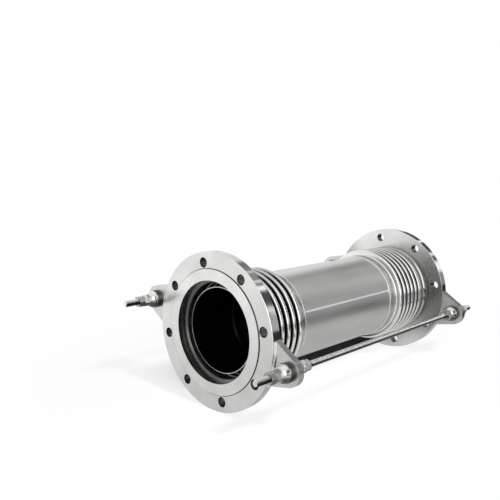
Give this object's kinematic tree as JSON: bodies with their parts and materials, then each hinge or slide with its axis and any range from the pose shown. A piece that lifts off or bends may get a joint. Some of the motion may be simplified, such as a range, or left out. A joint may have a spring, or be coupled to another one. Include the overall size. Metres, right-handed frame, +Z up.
{
  "type": "lateral expansion joint",
  "caption": "Tied metal bellows expansion joint with drilled pipe flanges, a centre pipe and tie rods on spherical seats, for sideways pipe movement.",
  "frame": {"origin": "on the floor under the middle of the pipe axis, with the joint lying on its two flange rims", "axes": "+X along the pipe axis from the liner-side flange a to flange b, +Z up, the tie rods on the +Y (left) and -Y (right) sides"},
  "size_m": [0.866, 0.4572, 0.34],
  "materials": {
    "flange_satin": "satin, fine turned",
    "polished_ring": "bright turned",
    "bellows_sheet": "bright cold-formed sheet",
    "pipe_satin": "satin, drawn tube",
    "liner_sheet": "dull rolled sheet",
    "weld_bead": "as welded, cleaned",
    "lug_plate": "satin plate with cut edges",
    "rod_steel": "drawn bright, rolled threads",
    "turned_seat": "bright turned",
    "nut_steel": "dull machined"
  },
  "bodies": {
    "near_flange": {"flange_a": "flange_satin", "hub_ring_a": "polished_ring", "hub_weld_a": "weld_bead", "bellows_a": "bellows_sheet", "lug_a_left": "lug_plate", "lug_a_right": "lug_plate", "lug_weld_a_left": "weld_bead", "lug_weld_a_right": "weld_bead", "seat_a_left_outer": "turned_seat", "seat_a_left_inner": "turned_seat", "seat_a_right_outer": "turned_seat", "seat_a_right_inner": "turned_seat"},
    "centre_pipe": {"centre_pipe": "pipe_satin", "collar_a": "polished_ring", "collar_b": "polished_ring", "pipe_weld_a": "weld_bead", "pipe_weld_b": "weld_bead", "liner_a": "liner_sheet", "liner_b": "liner_sheet", "bellows_b": "bellows_sheet"},
    "far_flange": {"flange_b": "flange_satin", "hub_ring_b": "polished_ring", "hub_weld_b": "weld_bead", "lug_b_left": "lug_plate", "lug_b_right": "lug_plate", "lug_weld_b_left": "weld_bead", "lug_weld_b_right": "weld_bead", "seat_b_left_outer": "turned_seat", "seat_b_left_inner": "turned_seat", "seat_b_right_outer": "turned_seat", "seat_b_right_inner": "turned_seat"},
    "tie_rod_left": {"tie_rod_left": "rod_steel", "dome_a_left_outer": "turned_seat", "dome_a_left_inner": "turned_seat", "dome_b_left_outer": "turned_seat", "dome_b_left_inner": "turned_seat", "washer_a_left_outer": "turned_seat", "washer_a_left_inner": "turned_seat", "washer_b_left_outer": "turned_seat", "washer_b_left_inner": "turned_seat", "nut_a_left_outer": "nut_steel", "nut_a_left_inner": "nut_steel", "nut_b_left_outer": "nut_steel", "nut_b_left_inner": "nut_steel", "locknut_a_left_outer": "nut_steel", "locknut_a_left_inner": "nut_steel", "locknut_b_left_outer": "nut_steel", "locknut_b_left_inner": "nut_steel"},
    "tie_rod_right": {"tie_rod_right": "rod_steel", "dome_a_right_outer": "turned_seat", "dome_a_right_inner": "turned_seat", "dome_b_right_outer": "turned_seat", "dome_b_right_inner": "turned_seat", "washer_a_right_outer": "turned_seat", "washer_a_right_inner": "turned_seat", "washer_b_right_outer": "turned_seat", "washer_b_right_inner": "turned_seat", "nut_a_right_outer": "nut_steel", "nut_a_right_inner": "nut_steel", "nut_b_right_outer": "nut_steel", "nut_b_right_inner": "nut_steel", "locknut_a_right_outer": "nut_steel", "locknut_a_right_inner": "nut_steel", "locknut_b_right_outer": "nut_steel", "locknut_b_right_inner": "nut_steel"}
  },
  "joints": [
    {"name": "pipe_swing", "type": "hinge", "parent": "near_flange", "child": "centre_pipe", "pos_m": [-0.255, 0, 0.17], "axis": [0, 0, 1], "range_deg": [-4.5, 4.5], "stiffness_Nm_per_rad": 1000, "deforming": ["bellows_a"]},
    {"name": "far_flange_swing", "type": "hinge", "parent": "centre_pipe", "child": "far_flange", "pos_m": [0.255, 0, 0.17], "axis": [0, 0, 1], "range_deg": [-4.5, 4.5], "stiffness_Nm_per_rad": 1000, "deforming": ["bellows_b"]},
    {"name": "tie_rod_left_swing", "type": "hinge", "parent": "near_flange", "child": "tie_rod_left", "pos_m": [-0.3385, 0.19856, 0.21221], "axis": [0, 0, 1], "range_deg": [-3.45, 3.45]},
    {"name": "tie_rod_right_swing", "type": "hinge", "parent": "near_flange", "child": "tie_rod_right", "pos_m": [-0.3385, -0.19856, 0.12779], "axis": [0, 0, 1], "range_deg": [-3.45, 3.45]}
  ],
  "couplings": [
    {"joint": "far_flange_swing", "follows": "pipe_swing", "ratio": -1},
    {"joint": "tie_rod_left_swing", "follows": "pipe_swing", "ratio": 0.75332},
    {"joint": "tie_rod_right_swing", "follows": "pipe_swing", "ratio": 0.75332}
  ]
}
